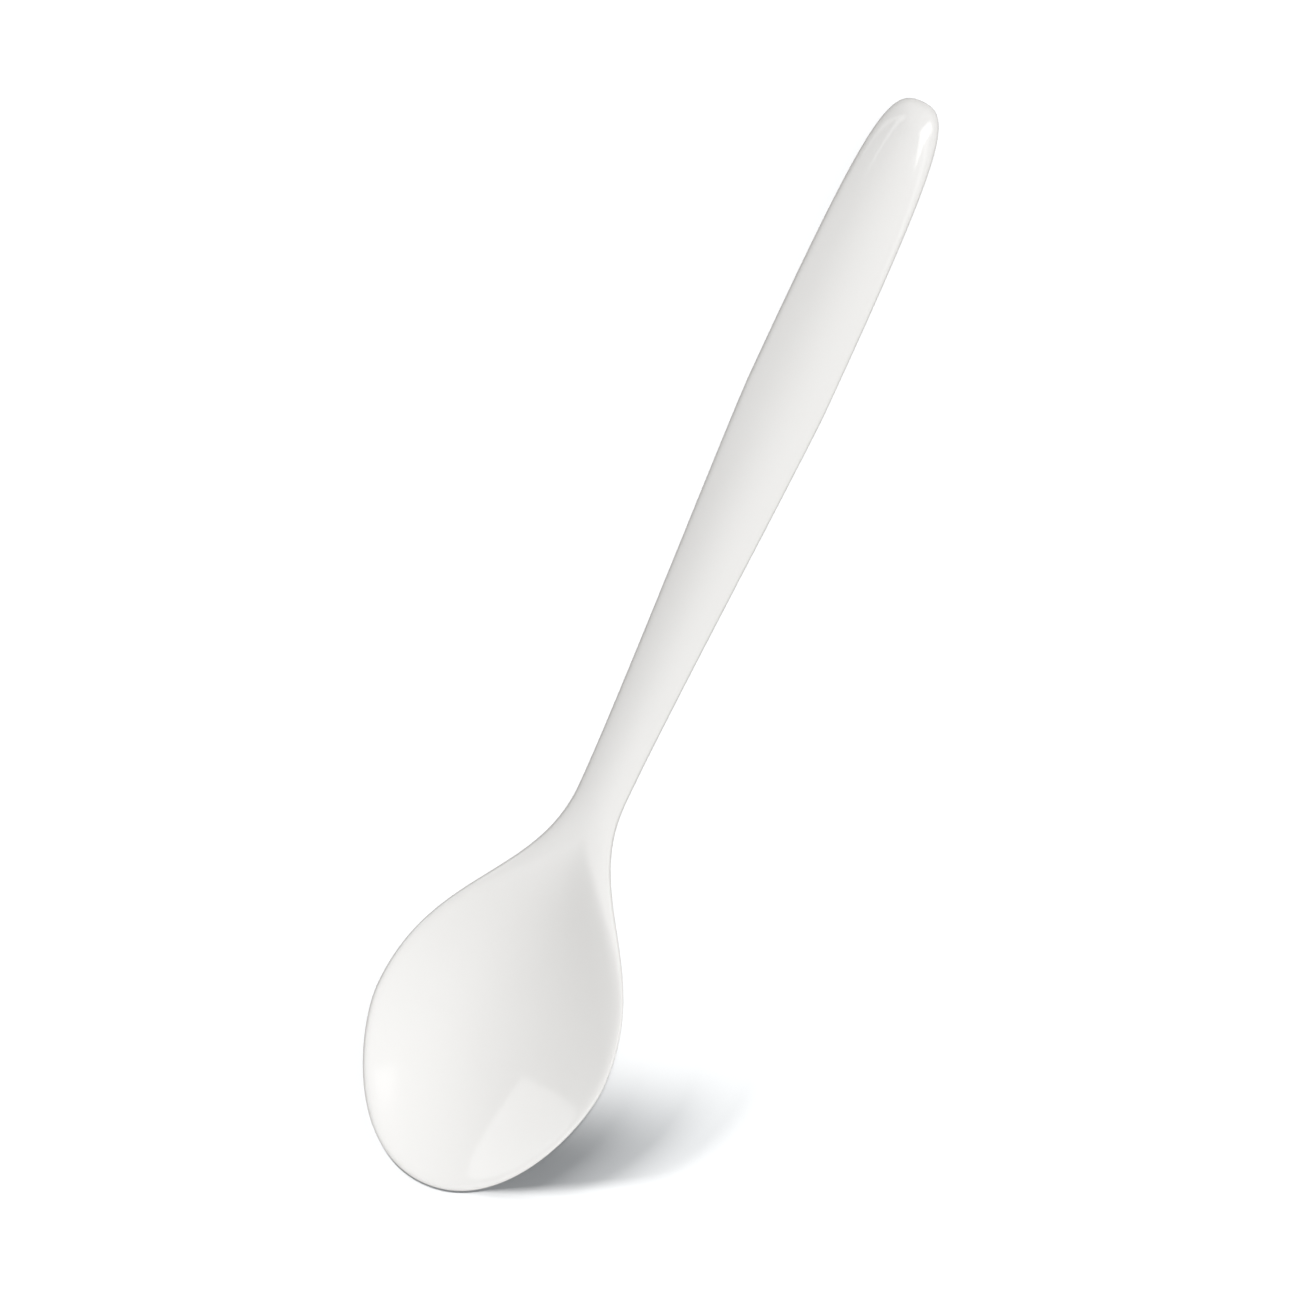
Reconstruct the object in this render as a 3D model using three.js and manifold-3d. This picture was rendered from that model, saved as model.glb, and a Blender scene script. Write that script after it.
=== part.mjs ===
// Egg spoon moulded in one piece from white melamine, lying on a table with its bowl up.
// Millimetres, +Z up. X runs from the tip of the bowl to the end of the handle, and Y runs across.
// The origin is on the table, halfway along the spoon.
import * as THREE from "three";
import { mergeVertices } from "three/addons/utils/BufferGeometryUtils.js";
import Module from "manifold-3d";

const { clamp, smootherstep } = THREE.MathUtils;

// The outline seen from above
const spoonLength = 130;
const bowlWidth = 27.1;
const bowlWidestFromTip = 17.4;
const neckWidth = 5.5;
const neckFromTip = 46.4;
const handleWidth = 9.25;
const handleWidestFromEnd = 35.3;
const endRound = 3.6;

// How far the outline runs straight on at each of those places, as a share of the stretch that it bounds
const tipFullness = 0.7;
const cheekFullness = 0.26;
const shoulderFullness = 0.48;
const throatFullness = 0.39;
const stemFullness = 0.22;
const gripFullness = 0.12;
const taperFullness = 0.91;
const endFullness = 0.82;

// The hollow of the bowl: its end before the neck, how late it runs out in depth and in width, how softly its
// depth ends there, and how soft its edge is at the rim and near the neck
const bowlDepth = 5.8;
const hollowToNeck = 4.8;
const hollowLateness = 2.6;
const hollowTaper = 5.8;
const hollowRunOut = 2.1;
const rimSoftness = 1.2;
const heelSoftness = 1.9;
const heelFromTip = 31;

// The profile seen from the side
const tipRise = 0.9;
const crestHeight = 11.2;
const crestFromTip = 74;
const endSlope = 0.35;
const restingFlat = 0.15;

// Thickness on the centre line and at the edges
const bowlWall = 2;
const rimThickness = 1.5;
const neckThickness = 4.2;
const neckEdge = 2.6;
const handleThickness = 3.4;
const handleEdge = 1.9;

// The swell of the upper face, and where it begins and is full at the neck
const swellFromTip = 26;
const swellFullFromTip = 50;
const neckSwell = 0.9;
const handleSwell = 1.25;

// The roll of the upper edge: how far in it reaches and how far it drops
const rimRoll = 1;
const rimRollDrop = 0.6;
const heelRoll = 3.6;
const heelRollDrop = 0.7;
const handleRoll = 0.7;
const handleRollDrop = 0.25;

// How far in the edges are rounded off, above outside that roll and below
const upperRadius = 0.25;
const rimLowerRadius = 0.75;
const neckLowerRadius = 1.9;
const handleLowerRadius = 1.5;

// Fineness of the surface: steps along each stretch of the outline, round an edge and from there to the middle
const stretchSteps = 20;
const edgeSteps = 3;
const crossSteps = 10;
const crossSpread = 1.5;

const bowlCentre = bowlWidestFromTip;
const handleWidest = spoonLength - handleWidestFromEnd;
const endCentre = spoonLength - endRound;

// A value that eases from one place along the spoon to the next, given as [x, value] pairs
function along(x, places) {
  return places.slice(1).reduce((value, [to, after], i) => {
    const [from, before] = places[i];
    return value + (after - before) * smootherstep(x, from, to);
  }, places[0][1]);
}

const fromBowlToHandle = (bowl, neck, handle) => (x) =>
  along(x, [[bowlCentre, bowl], [neckFromTip, neck], [handleWidest, handle]]);

const thickness = fromBowlToHandle(bowlWall, neckThickness, handleThickness);
const edgeThickness = fromBowlToHandle(rimThickness, neckEdge, handleEdge);
const lowerRounding = fromBowlToHandle(rimLowerRadius, neckLowerRadius, handleLowerRadius);
const roll = (x) => along(x, [[bowlCentre, rimRoll], [heelFromTip, heelRoll], [neckFromTip, handleRoll]]);
const rollDrop = (x) =>
  along(x, [[bowlCentre, rimRollDrop], [heelFromTip, heelRollDrop], [neckFromTip, handleRollDrop]]);
const swell = (x) =>
  along(x, [[swellFromTip, 0], [swellFullFromTip, neckSwell], [handleWidest, handleSwell]]);

// Half of the outline, from the tip to the end: x along the spoon, y the half width there
function halfOutline() {
  const bowlHalf = bowlWidth / 2;
  const neckHalf = neckWidth / 2;
  const handleHalf = handleWidth / 2;
  const shoulder = neckFromTip - bowlCentre;
  const stem = handleWidest - neckFromTip;
  return new THREE.Path()
    .moveTo(0, 0)
    .bezierCurveTo(
      0, tipFullness * bowlHalf,
      bowlCentre * (1 - cheekFullness), bowlHalf,
      bowlCentre, bowlHalf)
    .bezierCurveTo(
      bowlCentre + shoulderFullness * shoulder, bowlHalf,
      neckFromTip - throatFullness * shoulder, neckHalf,
      neckFromTip, neckHalf)
    .bezierCurveTo(
      neckFromTip + stemFullness * stem, neckHalf,
      handleWidest - gripFullness * stem, handleHalf,
      handleWidest, handleHalf)
    .bezierCurveTo(
      handleWidest + taperFullness * handleWidestFromEnd, handleHalf,
      spoonLength, endFullness * handleHalf,
      spoonLength, 0)
    .getPoints(stretchSteps);
}

// The side profile's upper edge line as [x, height, slope]. The belly dips below the table by the depth of its
// resting flat, and so does the end of the handle where the rounding of its edge begins.
const rimHeight = bowlDepth + bowlWall - restingFlat;
const endBulge = 1 - (1 - handleLowerRadius / endRound) ** 2;
const endUnderside = handleEdge + (handleThickness - handleEdge - handleSwell) * endBulge;
const endHeight = endUnderside - restingFlat - endSlope * handleLowerRadius;
const profile = [
  [0, rimHeight + tipRise, (-2 * tipRise) / bowlCentre],
  [bowlCentre, rimHeight, 0],
  [crestFromTip, crestHeight, 0],
  [spoonLength, endHeight, -endSlope],
];

// A smooth cubic through the profile's places with their slopes
function edgeHeight(x) {
  const next = clamp(profile.findIndex(([place]) => place >= x), 1, profile.length - 1);
  const [from, low, leaving] = profile[next - 1];
  const [to, high, arriving] = profile[next];
  const span = to - from;
  const t = (x - from) / span;
  const ease = t * t * (3 - 2 * t);
  const leave = t * (1 - t) * (1 - t) * span * leaving;
  const arrive = t * t * (t - 1) * span * arriving;
  return low + (high - low) * ease + leave + arrive;
}

// The hollow on a rib: its depth on the centre line, and the share of that depth at a place between the centre line
// (out 0) and the outline (out 1). It is full at the bowl's centre and in the fan in front of it. Behind that it
// narrows to a point before the neck, and its edge gets softer.
function hollowOf(x) {
  const run = neckFromTip - hollowToNeck - bowlCentre;
  const share = clamp((x - bowlCentre) / run, 0, 1);
  const depth = bowlDepth * (1 - share ** hollowLateness) ** hollowRunOut;
  const width = 1 - share ** hollowTaper;
  const softness = rimSoftness + (heelSoftness - rimSoftness) * smootherstep(share, 0, 1);
  return { depth, shareAt: (out) => (out < width ? (1 - (out / width) ** 2) ** softness : 0) };
}

// One rib of the spoon, from a point of the outline in to the centre line: [x, y, top, bottom] at each step.
// Ribs in front of the bowl's centre and near the end of the handle fan out from one point.
function rib(outlinePoint) {
  const centreX = clamp(outlinePoint.x, bowlCentre, endCentre);
  const centre = new THREE.Vector2(centreX, 0);
  const reach = outlinePoint.distanceTo(centre);
  const below = Math.min(lowerRounding(centreX), reach);
  const edge = edgeThickness(centreX);
  const drop = rollDrop(centreX);
  const { depth, shareAt } = hollowOf(centreX);
  const insets = [];
  for (let i = 0; i <= edgeSteps; i++) {
    insets.push(upperRadius * (1 - Math.cos((i / edgeSteps) * (Math.PI / 2))));
  }
  for (let i = 1; i <= crossSteps; i++) {
    insets.push(upperRadius + (reach - upperRadius) * (i / crossSteps) ** crossSpread);
  }
  const rounded = (inset, radius) => 1 - Math.sqrt(1 - Math.max(0, 1 - inset / radius) ** 2);
  return insets.map((inset) => {
    const out = Math.max(0, 1 - inset / reach);
    const bulge = 1 - out * out;
    const { x, y } = centre.clone().lerp(outlinePoint, out);
    const crown = edgeHeight(x) + swell(centreX) * bulge;
    const rolled = drop * rounded(inset, roll(centreX)) + (edge / 2 - drop) * rounded(inset, upperRadius);
    const top = crown - depth * shareAt(out) - rolled;
    const wall = edge + (thickness(centreX) - edge) * bulge;
    const bottom = crown - depth * bulge - wall + (edge / 2) * rounded(inset, below);
    return [x, y, top, bottom];
  });
}

// Triangles of a closed surface over the ribs: both faces, and both halves
function skin(ribs) {
  const corners = [];
  const quad = (a, b, c, d) => corners.push(...a, ...b, ...c, ...a, ...c, ...d);
  const upper = ([x, y, top], side) => [x, side * y, top];
  const lower = ([x, y, , bottom], side) => [x, side * y, bottom];
  for (let i = 0; i + 1 < ribs.length; i++) {
    for (let j = 0; j + 1 < ribs[i].length; j++) {
      const ring = [ribs[i][j], ribs[i][j + 1], ribs[i + 1][j + 1], ribs[i + 1][j]];
      const turned = [...ring].reverse();
      quad(...ring.map((p) => upper(p, 1)));
      quad(...turned.map((p) => upper(p, -1)));
      quad(...turned.map((p) => lower(p, 1)));
      quad(...ring.map((p) => lower(p, -1)));
    }
  }
  return new THREE.BufferGeometry().setAttribute(
    "position", new THREE.Float32BufferAttribute(corners, 3));
}

const wasm = await Module();
wasm.setup();

// A closed geometry as a solid, without the triangles that close up where ribs meet
function solidOf(geometry) {
  const bare = (geometry.index ? geometry.toNonIndexed() : geometry).clone();
  bare.deleteAttribute("normal");
  bare.deleteAttribute("uv");
  const welded = mergeVertices(bare);
  const triVerts = [];
  for (let i = 0; i < welded.index.count; i += 3) {
    const [a, b, c] = welded.index.array.slice(i, i + 3);
    if (a !== b && b !== c && c !== a) triVerts.push(a, b, c);
  }
  return new wasm.Manifold(new wasm.Mesh({
    numProp: 3,
    vertProperties: welded.attributes.position.array,
    triVerts: new Uint32Array(triVerts),
  }));
}

function geometryOf(solid) {
  const { vertProperties, triVerts } = solid.getMesh();
  const geometry = new THREE.BufferGeometry()
    .setAttribute("position", new THREE.BufferAttribute(vertProperties, 3))
    .setIndex(new THREE.BufferAttribute(triVerts, 1));
  geometry.computeVertexNormals();
  return geometry;
}

// What lies below the table top, which trims the belly and the handle's end to their resting flats
function belowTable() {
  const slabDepth = bowlDepth;
  return solidOf(new THREE.BoxGeometry(2 * spoonLength, 2 * bowlWidth, slabDepth)
    .translate(0, 0, -slabDepth / 2));
}

const melamine = new THREE.MeshStandardMaterial({ color: 0xf0efec, roughness: 0.18, metalness: 0 });

const moulding = solidOf(skin(halfOutline().map(rib))).subtract(belowTable());
const spoon = new THREE.Mesh(geometryOf(moulding), melamine);
spoon.name = "spoon";

const eggSpoon = new THREE.Group();
eggSpoon.add(spoon);
spoon.position.x = -spoonLength / 2;

export default eggSpoon;
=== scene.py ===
import math

import bmesh
import bpy
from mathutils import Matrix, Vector
from mathutils.geometry import interpolate_bezier


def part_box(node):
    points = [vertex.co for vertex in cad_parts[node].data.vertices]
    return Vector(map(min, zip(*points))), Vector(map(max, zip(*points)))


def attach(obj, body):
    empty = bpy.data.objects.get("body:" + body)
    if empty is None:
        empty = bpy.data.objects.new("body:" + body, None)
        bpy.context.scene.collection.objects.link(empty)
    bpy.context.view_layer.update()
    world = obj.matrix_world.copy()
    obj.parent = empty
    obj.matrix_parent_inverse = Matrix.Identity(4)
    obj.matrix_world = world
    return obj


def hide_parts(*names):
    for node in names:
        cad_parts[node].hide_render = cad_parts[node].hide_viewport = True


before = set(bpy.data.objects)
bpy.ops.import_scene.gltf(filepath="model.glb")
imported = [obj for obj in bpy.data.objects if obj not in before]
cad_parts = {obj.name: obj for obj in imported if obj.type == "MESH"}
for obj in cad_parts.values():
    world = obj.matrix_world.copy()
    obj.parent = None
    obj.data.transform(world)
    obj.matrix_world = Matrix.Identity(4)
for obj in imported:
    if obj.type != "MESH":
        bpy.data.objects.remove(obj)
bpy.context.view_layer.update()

mm = 0.001
print("frame loaded:", sorted(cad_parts))


# Wires and node sheets

class Wire:
    # a shader value that can be used in sums

    def __init__(self, sheet, socket):
        self.sheet = sheet
        self.socket = socket

    def combine(self, operation, first, second):
        return self.sheet.add("ShaderNodeMath", {"operation": operation}, {0: first, 1: second})

    def __add__(self, other):
        return self.combine("ADD", self, other)

    def __radd__(self, other):
        return self.combine("ADD", other, self)

    def __sub__(self, other):
        return self.combine("SUBTRACT", self, other)

    def __rsub__(self, other):
        return self.combine("SUBTRACT", other, self)

    def __mul__(self, other):
        return self.combine("MULTIPLY", self, other)

    def __rmul__(self, other):
        return self.combine("MULTIPLY", other, self)


class NodeSheet:
    # the node tree of a material or of the world, built from an empty one

    def __init__(self, owner):
        owner.use_nodes = True
        self.tree = owner.node_tree
        self.tree.nodes.clear()

    def add(self, kind, settings=None, sockets=None, output=0):
        node = self.tree.nodes.new(kind)
        for name, value in (settings or {}).items():
            if name == "stops":
                ramp = node.color_ramp.elements
                while len(ramp) < len(value):
                    ramp.new(1.0)
                for element, (place, colour) in zip(ramp, value):
                    element.position = place
                    element.color = colour
            else:
                setattr(node, name, value)
        for name, value in (sockets or {}).items():
            if isinstance(value, Wire):
                self.tree.links.new(value.socket, node.inputs[name])
            else:
                node.inputs[name].default_value = value
        return Wire(self, node.outputs[output]) if node.outputs else node


# The spoon's form, in metres from the tip of the bowl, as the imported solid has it

low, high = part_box("spoon")

spoonForm = {
    "length": high.x - low.x,
    "bowlHalf": high.y,
    "bowlCentre": 17.4 * mm,      # widest and deepest place of the bowl
    "neckHalf": 5.5 / 2 * mm,
    "neckPlace": 46.4 * mm,
    "handleHalf": 9.25 / 2 * mm,
    "handlePlace": high.x - low.x - 35.3 * mm,
    "endRound": 3.6 * mm,
    # how far the outline runs straight on at the tip, bowl, neck, handle and end
    "fullness": (0.7, 0.26, 0.48, 0.39, 0.22, 0.12, 0.91, 0.82),
    # the hollow, which narrows to a point before the neck
    "bowlDepth": 5.8 * mm,
    "hollowToNeck": 4.8 * mm,
    "hollowLateness": 2.6,
    "hollowTaper": 5.8,
    "hollowRunOut": 2.1,
    "hollowSoftness": (1.2, 1.9),
    "heelPlace": 31 * mm,
    "tipRise": 0.9 * mm,
    "crestHeight": 11.2 * mm,
    "crestPlace": 74 * mm,
    "endSlope": 0.35,
    "restingFlat": 0.15 * mm,
    # values at the bowl, the neck and the handle
    "thickness": (2.0 * mm, 4.2 * mm, 3.4 * mm),
    "edge": (1.5 * mm, 2.6 * mm, 1.9 * mm),
    "roundBelow": (0.75 * mm, 1.9 * mm, 1.5 * mm),
    "roundAbove": 0.25 * mm,
    # the roll of the upper edge at the rim, the heel and the handle: how far in it reaches and drops
    "roll": (1.0 * mm, 3.6 * mm, 0.7 * mm),
    "rollDrop": (0.6 * mm, 0.7 * mm, 0.25 * mm),
    # the swell of the upper face: where it starts and is full, and its height at the neck and the handle
    "swellStart": 26 * mm,
    "swellFull": 50 * mm,
    "swell": (0.9 * mm, 1.25 * mm),
    "wornEdge": 1.2 * mm,         # width of the band along the edges that wears
    # fineness: steps along a stretch, round an edge and from there to the middle
    "stretchSteps": 48,
    "edgeSteps": 8,
    "crossSteps": 24,
    "crossSpread": 1.4,
    "weldSteps": 1e7,             # places per metre that a corner can be at
}


def easeStep(x, start, end):
    t = min(max((x - start) / (end - start), 0.0), 1.0)
    return t * t * t * (t * (6 * t - 15) + 10)


def alongSpoon(x, values):
    bowl, neck, handle = values
    toNeck = easeStep(x, spoonForm["bowlCentre"], spoonForm["neckPlace"])
    toHandle = easeStep(x, spoonForm["neckPlace"], spoonForm["handlePlace"])
    return bowl + (neck - bowl) * toNeck + (handle - neck) * toHandle


def halfOutline():
    f = spoonForm
    tip, cheek, shoulder, throat, stem, grip, taper, end = f["fullness"]
    toNeck = f["neckPlace"] - f["bowlCentre"]
    toHandle = f["handlePlace"] - f["neckPlace"]
    toEnd = f["length"] - f["handlePlace"]
    corners = [
        (0, 0),
        (0, tip * f["bowlHalf"]),
        (f["bowlCentre"] * (1 - cheek), f["bowlHalf"]),
        (f["bowlCentre"], f["bowlHalf"]),
        (f["bowlCentre"] + shoulder * toNeck, f["bowlHalf"]),
        (f["neckPlace"] - throat * toNeck, f["neckHalf"]),
        (f["neckPlace"], f["neckHalf"]),
        (f["neckPlace"] + stem * toHandle, f["neckHalf"]),
        (f["handlePlace"] - grip * toHandle, f["handleHalf"]),
        (f["handlePlace"], f["handleHalf"]),
        (f["handlePlace"] + taper * toEnd, f["handleHalf"]),
        (f["length"], end * f["handleHalf"]),
        (f["length"], 0),
    ]
    points = [Vector(corners[0])]
    for i in range(0, len(corners) - 1, 3):
        stretch = [Vector(corner) for corner in corners[i:i + 4]]
        points += interpolate_bezier(*stretch, f["stretchSteps"] + 1)[1:]
    return points


def sideProfile():
    # places of the upper edge line: x, height, slope
    f = spoonForm
    rimHeight = f["bowlDepth"] + f["thickness"][0] - f["restingFlat"]
    endBulge = 1 - (1 - f["roundBelow"][2] / f["endRound"]) ** 2
    endWall = f["edge"][2] + (f["thickness"][2] - f["edge"][2] - f["swell"][1]) * endBulge
    endHeight = endWall - f["restingFlat"] - f["endSlope"] * f["roundBelow"][2]
    return [
        (0, rimHeight + f["tipRise"], -2 * f["tipRise"] / f["bowlCentre"]),
        (f["bowlCentre"], rimHeight, 0),
        (f["crestPlace"], f["crestHeight"], 0),
        (f["length"], endHeight, -f["endSlope"]),
    ]


def edgeHeight(x, profile):
    before, after = next(
        pair for pair in zip(profile, profile[1:]) if x <= pair[1][0] or pair[1] is profile[-1])
    span = after[0] - before[0]
    t = (x - before[0]) / span
    ease = before[1] + (after[1] - before[1]) * t * t * (3 - 2 * t)
    return ease + span * t * (1 - t) * (before[2] * (1 - t) - after[2] * t)


def swellHeight(x):
    f = spoonForm
    atNeck, atHandle = f["swell"]
    toNeck = easeStep(x, f["swellStart"], f["swellFull"])
    toHandle = easeStep(x, f["swellFull"], f["handlePlace"])
    return atNeck * toNeck + (atHandle - atNeck) * toHandle


def hollowOf(x):
    # depth on the centre line, width as a share of the outline's, and softness of the edge
    f = spoonForm
    run = f["neckPlace"] - f["hollowToNeck"] - f["bowlCentre"]
    share = min(max((x - f["bowlCentre"]) / run, 0.0), 1.0)
    depth = f["bowlDepth"] * (1 - share ** f["hollowLateness"]) ** f["hollowRunOut"]
    atRim, atHeel = f["hollowSoftness"]
    softness = atRim + (atHeel - atRim) * easeStep(share, 0, 1)
    return depth, 1 - share ** f["hollowTaper"], softness


def alongHeel(x, values):
    rim, heel, handle = values
    toHeel = easeStep(x, spoonForm["bowlCentre"], spoonForm["heelPlace"])
    toNeck = easeStep(x, spoonForm["heelPlace"], spoonForm["neckPlace"])
    return rim + (heel - rim) * toHeel + (handle - heel) * toNeck


def rounded(inset, radius):
    return 1 - math.sqrt(1 - max(0.0, 1 - inset / radius) ** 2)


def ribOf(outlinePoint, profile):
    # from the outline in to the centre line: x, y, top, bottom and how far in at each step
    f = spoonForm
    centreX = min(max(outlinePoint.x, f["bowlCentre"]), f["length"] - f["endRound"])
    centre = Vector((centreX, 0))
    reach = (outlinePoint - centre).length
    above = f["roundAbove"]
    below = min(alongSpoon(centreX, f["roundBelow"]), reach)
    roll = alongHeel(centreX, f["roll"])
    drop = alongHeel(centreX, f["rollDrop"])
    edge = alongSpoon(centreX, f["edge"])
    middleWall = alongSpoon(centreX, f["thickness"])
    depth, width, softness = hollowOf(centreX)
    quarter = math.pi / 2 / f["edgeSteps"]
    insets = [above * (1 - math.cos(i * quarter)) for i in range(f["edgeSteps"] + 1)]
    for i in range(f["crossSteps"]):
        insets.append(above + (reach - above) * ((i + 1) / f["crossSteps"]) ** f["crossSpread"])
    rib = []
    for inset in insets:
        out = max(0.0, 1 - inset / reach)
        bulge = 1 - out * out
        place = centre.lerp(outlinePoint, out)
        crown = edgeHeight(place.x, profile) + swellHeight(centreX) * bulge
        hollow = depth * (1 - (out / width) ** 2) ** softness if out < width else 0.0
        rolled = drop * rounded(inset, roll) + (edge / 2 - drop) * rounded(inset, above)
        top = crown - hollow - rolled
        wall = edge + (middleWall - edge) * bulge
        bottom = max(crown - depth * bulge - wall + edge / 2 * rounded(inset, below), 0.0)
        rib.append((place.x, place.y, top, bottom, inset))
    return rib


def spoonRibs():
    profile = sideProfile()
    return [ribOf(point, profile) for point in halfOutline()]


def makeSpoon(ribs):
    weld = spoonForm["weldSteps"]
    bm = bmesh.new()
    corners = {}
    wear = []

    def corner(x, y, z, inset):
        key = (round(x * weld), round(y * weld), round(z * weld))
        if key not in corners:
            corners[key] = bm.verts.new((x + low.x, y, z))
            wear.append(max(0.0, 1 - inset / spoonForm["wornEdge"]))
        return corners[key]

    def face(points):
        ring = list(dict.fromkeys(corner(*point) for point in points))
        if len(ring) > 2:
            bm.faces.new(ring).smooth = True

    for rib, nextRib in zip(ribs, ribs[1:]):
        for j in range(len(rib) - 1):
            ring = (rib[j], rib[j + 1], nextRib[j + 1], nextRib[j])
            for side in (1, -1):
                upper = [(x, side * y, top, inset) for x, y, top, bottom, inset in ring]
                lower = [(x, side * y, bottom, inset) for x, y, top, bottom, inset in ring]
                face(upper[::side])
                face(lower[::-side])
    mesh = bpy.data.meshes.new("spoonSkin")
    bm.to_mesh(mesh)
    bm.free()
    mesh.attributes.new("edgeWear", "FLOAT", "POINT").data.foreach_set("value", wear)
    spoon = bpy.data.objects.new("spoonSkin", mesh)
    bpy.context.scene.collection.objects.link(spoon)
    return spoon


ribs = spoonRibs()
spoon = makeSpoon(ribs)
print("spoon made:", len(spoon.data.vertices), "points,", len(spoon.data.polygons), "faces")


# Melamine: glossy, slightly warm white, with a faint orange peel from the mould, hairlines and dulled edges

melamineLook = {
    "white": (0.872, 0.866, 0.852, 1),
    "cream": (0.858, 0.85, 0.832, 1),
    "wornTone": (0.845, 0.836, 0.818, 1),
    "roughness": 0.1,
    "roughnessSpread": 0.03,
    "wornRoughness": 0.16,
    "hairRoughness": 0.05,
    # noises: patches per metre, then detail and roughness of the pattern
    "cloud": (55, 3.0, 0.55),
    "scuff": (420, 4.0, 0.6),
    "peel": (620, 2.0, 0.5),
    "peelHeight": 0.003 * mm,
    "hairScale": (30, 1500, 1500),
    "hairDetail": 1.0,
    "hairStops": [(0.6, (0, 0, 0, 1)), (0.72, (1, 1, 1, 1))],
    "ior": 1.58,
}

mixFirst, mixSecond, mixResult = 6, 7, 2    # colour sockets of a Mix node


def makeMelamine():
    look = melamineLook
    material = bpy.data.materials.new("whiteMelamine")
    sheet = NodeSheet(material)
    place = sheet.add("ShaderNodeTexCoord", output="Object")

    def noise(name):
        scale, detail, roughness = look[name]
        return sheet.add("ShaderNodeTexNoise", {}, {
            "Vector": place, "Scale": scale, "Detail": detail, "Roughness": roughness})

    cloud = noise("cloud")
    peel = noise("peel")
    scuff = noise("scuff")
    stretched = sheet.add("ShaderNodeVectorMath", {"operation": "MULTIPLY"}, {
        0: place, 1: look["hairScale"]})
    strands = sheet.add("ShaderNodeTexNoise", {}, {
        "Vector": stretched, "Scale": 1.0, "Detail": look["hairDetail"]})
    hair = sheet.add("ShaderNodeValToRGB", {"stops": look["hairStops"]}, {0: strands})
    edge = sheet.add("ShaderNodeAttribute", {"attribute_name": "edgeWear"}, output="Fac")
    worn = edge * scuff
    plain = sheet.add("ShaderNodeMix", {"data_type": "RGBA"}, {
        "Factor": cloud, mixFirst: look["white"], mixSecond: look["cream"]}, output=mixResult)
    colour = sheet.add("ShaderNodeMix", {"data_type": "RGBA"}, {
        "Factor": worn, mixFirst: plain, mixSecond: look["wornTone"]}, output=mixResult)
    bump = sheet.add("ShaderNodeBump", {}, {
        "Height": peel, "Strength": 1.0, "Distance": look["peelHeight"]})
    shader = sheet.add("ShaderNodeBsdfPrincipled", {}, {
        "Base Color": colour,
        "Roughness": (look["roughness"] + look["roughnessSpread"] * (cloud - 0.5)
                      + look["wornRoughness"] * worn + look["hairRoughness"] * hair),
        "IOR": look["ior"],
        "Normal": bump,
    })
    sheet.add("ShaderNodeOutputMaterial", {}, {"Surface": shader})
    return material


spoon.data.materials.append(makeMelamine())
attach(spoon, "root")
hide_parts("spoon")
print("melamine set")


# The photograph's view: straight down, with the spoon aslant in the picture

viewFrame = {
    "pixels": 1300,
    "spoonPixels": 1192.6,        # length of the spoon in the picture
    "slant": 24.8,                # degrees from the picture's vertical
    "middle": (673.7, 639.4),     # where the middle of the spoon is in the picture
    "lens": 200,
    "sensor": 36,
    "clip": (0.01, 20),
    "level": 5 * mm,              # height of the plane that these sizes hold for
}


def makeCamera():
    view = viewFrame
    pixel = spoonForm["length"] / view["spoonPixels"]
    turn = math.radians(view["slant"] - 90)
    right = Vector((math.cos(turn), math.sin(turn), 0))
    up = Vector((-math.sin(turn), math.cos(turn), 0))
    aside = (view["middle"][0] - view["pixels"] / 2) * pixel
    above = (view["pixels"] / 2 - view["middle"][1]) * pixel
    distance = view["pixels"] * pixel * view["lens"] / view["sensor"]
    data = bpy.data.cameras.new("pictureCamera")
    data.lens = view["lens"]
    data.sensor_width = view["sensor"]
    data.clip_start, data.clip_end = view["clip"]
    camera = bpy.data.objects.new("pictureCamera", data)
    camera.location = Vector((0, 0, distance + view["level"])) - right * aside - up * above
    camera.rotation_euler = (0, 0, turn)
    bpy.context.scene.collection.objects.link(camera)
    bpy.context.scene.camera = camera
    return right, up


right, up = makeCamera()
print("camera set")


# White floor, and a studio that is brighter towards the right and the top of the picture

# the colour that the camera sees, the one that throws light back, and the tint of the lamps on the floor
floorLook = {
    "size": 8.0,
    "seen": (0.455, 0.474, 0.491, 1),
    "lit": (0.2, 0.2, 0.2, 1),
    "lampTint": (1.04, 1, 0.965),
}

studioLook = {"even": 0.945, "fromRight": 0.435, "fromTop": 0.36, "fromAbove": -0.04}


def makeFloor():
    look = floorLook
    half = look["size"] / 2
    mesh = bpy.data.meshes.new("floor")
    mesh.from_pydata(
        [(-half, -half, 0), (half, -half, 0), (half, half, 0), (-half, half, 0)], [], [(0, 1, 2, 3)])
    floor = bpy.data.objects.new("floor", mesh)
    bpy.context.scene.collection.objects.link(floor)
    material = bpy.data.materials.new("whiteFloor")
    sheet = NodeSheet(material)
    shown = sheet.add("ShaderNodeBsdfDiffuse", {}, {"Color": look["seen"]})
    bounce = sheet.add("ShaderNodeBsdfDiffuse", {}, {"Color": look["lit"]})
    camera = sheet.add("ShaderNodeLightPath", output="Is Camera Ray")
    surface = sheet.add("ShaderNodeMixShader", {}, {0: camera, 1: bounce, 2: shown})
    sheet.add("ShaderNodeOutputMaterial", {}, {"Surface": surface})
    floor.data.materials.append(material)
    return floor


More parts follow.
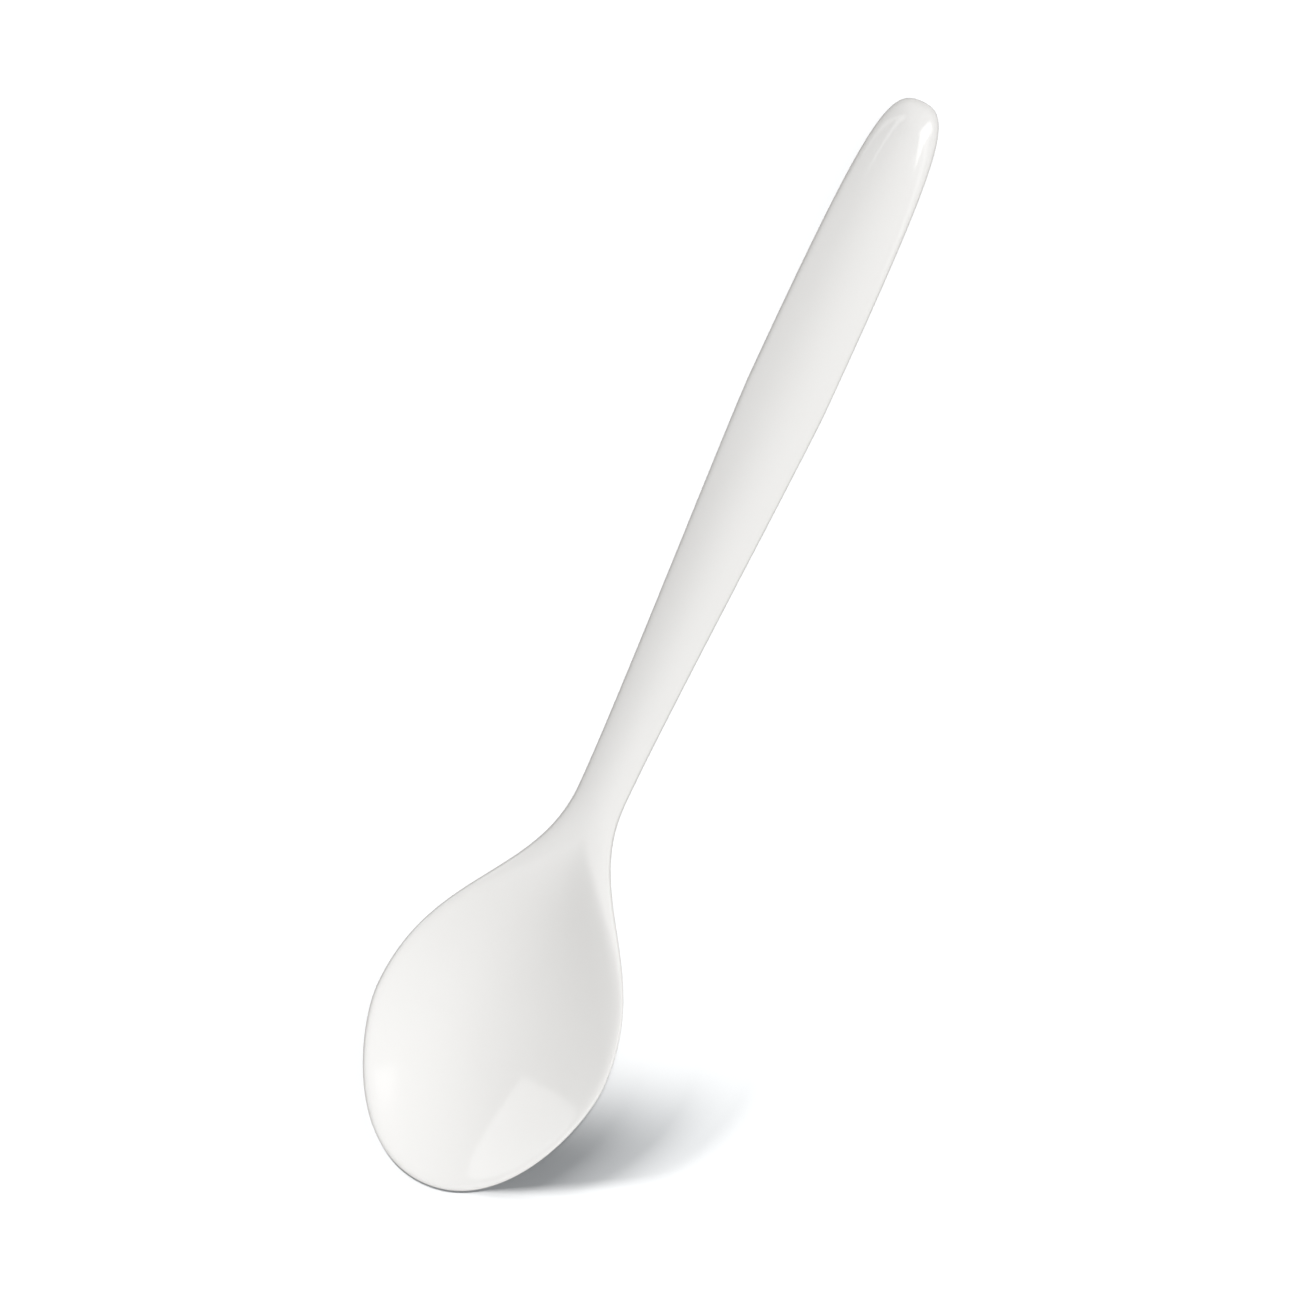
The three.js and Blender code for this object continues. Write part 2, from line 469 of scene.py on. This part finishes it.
def makeWorld():
    look = studioLook
    world = bpy.data.worlds.new("studio")
    bpy.context.scene.world = world
    sheet = NodeSheet(world)
    way = sheet.add("ShaderNodeTexCoord", output="Generated")

    def share(direction):
        return sheet.add("ShaderNodeVectorMath", {"operation": "DOT_PRODUCT"}, {
            0: way, 1: tuple(direction)}, output="Value")

    light = look["even"] + look["fromRight"] * share(right) + look["fromTop"] * share(up)
    light = light + look["fromAbove"] * share(Vector((0, 0, 1)))
    seen = sheet.add("ShaderNodeLightPath", output="Is Camera Ray")
    sky = sheet.add("ShaderNodeBackground", {}, {"Strength": light + seen * (1 - light)})
    sheet.add("ShaderNodeOutputWorld", {}, {"Surface": sky})


floor = makeFloor()
makeWorld()


# Softboxes: right, up and height from the bowl's centre, brightness of the box and what it lights

bowlMiddle = Vector((low.x + spoonForm["bowlCentre"], 0, 0))

softboxes = {
    "sideBox": {"place": (0.3, 0.05, 0.2), "size": (0.25, 0.25), "bright": 1.03, "on": "matt"},
    "tipBox": {"place": (-0.05, -0.12, 0.1), "size": (0.1, 0.1), "bright": 1.95, "on": "matt"},
    "overBox": {"place": (0, 0, 0.12), "size": (0.12, 0.12), "bright": 0.24, "on": "matt"},
    # the box whose edges show in the bowl
    "panelBox": {"place": (-2.284, 3.96, 2.0), "size": (4.4, 3.6), "bright": 1.35, "on": "gloss",
                 "level": True, "turn": 147.8},
    "patchBox": {"place": (1.778, 0.476, 0.781), "size": (0.8, 0.28), "bright": 1.15, "on": "gloss"},
    "endBox": {"place": (0.13, 0.14, 0.045), "size": (0.026, 0.05), "bright": 3.3, "on": "gloss"},
    # the boxes that light the floor past the flag
    "lowBox": {"place": (-5.569, -0.3, 2.228), "size": (0.424, 0.5), "bright": 811.0, "on": "floor"},
    "middleBox": {"place": (-5.078, 0.06, 3.193), "size": (0.426, 1.058), "bright": 302.0, "on": "floor"},
    "highBox": {"place": (-3.616, 0.45, 4.76), "size": (0.325, 2.492), "bright": 72.2, "on": "floor"},
}

# a card that only reflections meet keeps the panel off the handle
cardLook = {
    "from": (-60 * mm, 80 * mm),
    "to": (25 * mm, 190 * mm),
    "height": 45 * mm,
    "glow": (0.85, 0.85, 0.85, 1),
}

# a strip under the front of the rim that casts the shadow, dense at the tip and thinning out behind it
tipFlag = {
    "inset": 0.15 * mm,           # how far inside the outline it is drawn
    "forward": 0.9 * mm,          # how far it is then moved past the tip
    "height": 7.4 * mm,
    "dense": 6 * mm,              # places from the tip where it starts to thin out and is gone
    "gone": 26 * mm,
    "roundTip": 3 * mm,           # where it is gone on the side of the light
    "blend": 6 * mm,              # half the width over which one side passes into the other
}

# a sheet close to the floor that shades it under the spoon, most where the spoon is near
underFlag = {
    "level": 0.15 * mm,
    "reach": 4 * mm,              # clearance under the spoon at which the shade has sunk to about a third
    "fade": 1.2 * mm,             # width of its soft edge
}


def groupOf(name, *members):
    group = bpy.data.collections.new(name)
    for member in members:
        group.objects.link(member)
    return group


def flagWeave(x, y):
    # thins out late on the shadow's side and soon on the other
    look = tipFlag
    shadowSide = 1 - easeStep(x, look["dense"], look["gone"])
    lightSide = 1 - easeStep(x, 0, look["roundTip"])
    return shadowSide + (lightSide - shadowSide) * easeStep(y, -look["blend"], look["blend"])


def makeFlagCloth():
    material = bpy.data.materials.new("flagCloth")
    sheet = NodeSheet(material)
    cloth = sheet.add("ShaderNodeBsdfDiffuse", {}, {"Color": (0, 0, 0, 1)})
    gap = sheet.add("ShaderNodeBsdfTransparent")
    dense = sheet.add("ShaderNodeAttribute", {"attribute_name": "weave"}, output="Fac")
    surface = sheet.add("ShaderNodeMixShader", {}, {0: dense, 1: gap, 2: cloth})
    sheet.add("ShaderNodeOutputMaterial", {}, {"Surface": surface})
    return material


def makeFlag(name, rows, cloth):
    # rows of corners with their density as the fourth value; only shadow rays meet the flag
    corners = [corner for row in rows for corner in row]
    wide = len(rows[0])
    faces = [(i * wide + j, i * wide + j + 1, (i + 1) * wide + j + 1, (i + 1) * wide + j)
             for i in range(len(rows) - 1) for j in range(wide - 1)]
    mesh = bpy.data.meshes.new(name)
    mesh.from_pydata([corner[:3] for corner in corners], [], faces)
    weave = mesh.attributes.new("weave", "FLOAT", "POINT")
    weave.data.foreach_set("value", [corner[3] for corner in corners])
    mesh.materials.append(cloth)
    flag = bpy.data.objects.new(name, mesh)
    bpy.context.scene.collection.objects.link(flag)
    flag.visible_camera = False
    flag.visible_diffuse = False
    flag.visible_glossy = False
    flag.visible_transmission = False
    return flag


def tipStrip(ribs):
    # from the side of the light round the tip and along the side of the shadow
    look = tipFlag
    rim = [next(step[:2] for step in rib if step[4] > look["inset"]) for rib in ribs]
    plan = [(x, y) for x, y in rim[:0:-1] if x < look["roundTip"]]
    plan += [(x, -y) for x, y in rim if x < look["gone"]]
    strip = [(x + low.x - look["forward"], y, flagWeave(x, y)) for x, y in plan]
    return [[(x, y, height, weave) for x, y, weave in strip] for height in (0, look["height"])]


def underSheet(ribs, side):
    look = underFlag
    rows = []
    for rib in ribs:
        row = []
        for x, y, top, bottom, inset in rib:
            near = math.exp(-bottom / look["reach"]) * easeStep(inset, 0, look["fade"])
            front = flagWeave(x, side * y)
            row.append((x + low.x - front * tipFlag["forward"], side * y, look["level"], max(near, front)))
        rows.append(row)
    return rows


def makeFlags(ribs):
    cloth = makeFlagCloth()
    return groupOf(
        "flagCast",
        makeFlag("tipFlag", tipStrip(ribs), cloth),
        makeFlag("underFlagLeft", underSheet(ribs, 1), cloth),
        makeFlag("underFlagRight", underSheet(ribs, -1), cloth))


litGroups = {"spoon": groupOf("spoonLit", spoon), "floor": groupOf("floorLit", floor)}
flagGroup = makeFlags(ribs)


def makeSoftbox(name, box):
    data = bpy.data.lights.new(name, "AREA")
    data.shape = "RECTANGLE"
    data.size, data.size_y = box["size"]
    data.energy = math.pi * data.size * data.size_y * box["bright"]
    lamp = bpy.data.objects.new(name, data)
    aside, above, height = box["place"]
    away = right * aside + up * above + Vector((0, 0, height))
    lamp.location = bowlMiddle + away
    if box.get("level"):
        lamp.rotation_euler = (0, 0, math.radians(box["turn"]) + math.atan2(right.y, right.x))
    else:
        lamp.rotation_euler = away.to_track_quat("Z", "Y").to_euler()
    lamp.visible_diffuse = box["on"] != "gloss"
    lamp.visible_glossy = box["on"] != "matt"
    lamp.light_linking.receiver_collection = litGroups["floor" if box["on"] == "floor" else "spoon"]
    if box["on"] == "floor":
        data.color = floorLook["lampTint"]
        lamp.light_linking.blocker_collection = flagGroup
    bpy.context.scene.collection.objects.link(lamp)
    return lamp


def makeCard():
    look = cardLook
    (leftSide, lowSide), (rightSide, highSide) = look["from"], look["to"]
    plan = [(leftSide, lowSide), (rightSide, lowSide), (rightSide, highSide), (leftSide, highSide)]
    lift = Vector((0, 0, look["height"]))
    mesh = bpy.data.meshes.new("card")
    mesh.from_pydata([bowlMiddle + right * x + up * y + lift for x, y in plan], [], [(0, 1, 2, 3)])
    card = bpy.data.objects.new("card", mesh)
    bpy.context.scene.collection.objects.link(card)
    material = bpy.data.materials.new("cardGlow")
    sheet = NodeSheet(material)
    glow = sheet.add("ShaderNodeEmission", {}, {"Color": look["glow"], "Strength": 1.0})
    sheet.add("ShaderNodeOutputMaterial", {}, {"Surface": glow})
    mesh.materials.append(material)
    card.visible_camera = False
    card.visible_diffuse = False
    card.visible_transmission = False
    card.visible_shadow = False
    return card


for name, box in softboxes.items():
    makeSoftbox(name, box)
makeCard()
bpy.context.scene.view_settings.view_transform = "Standard"
print("stage set:", len(softboxes), "softboxes")
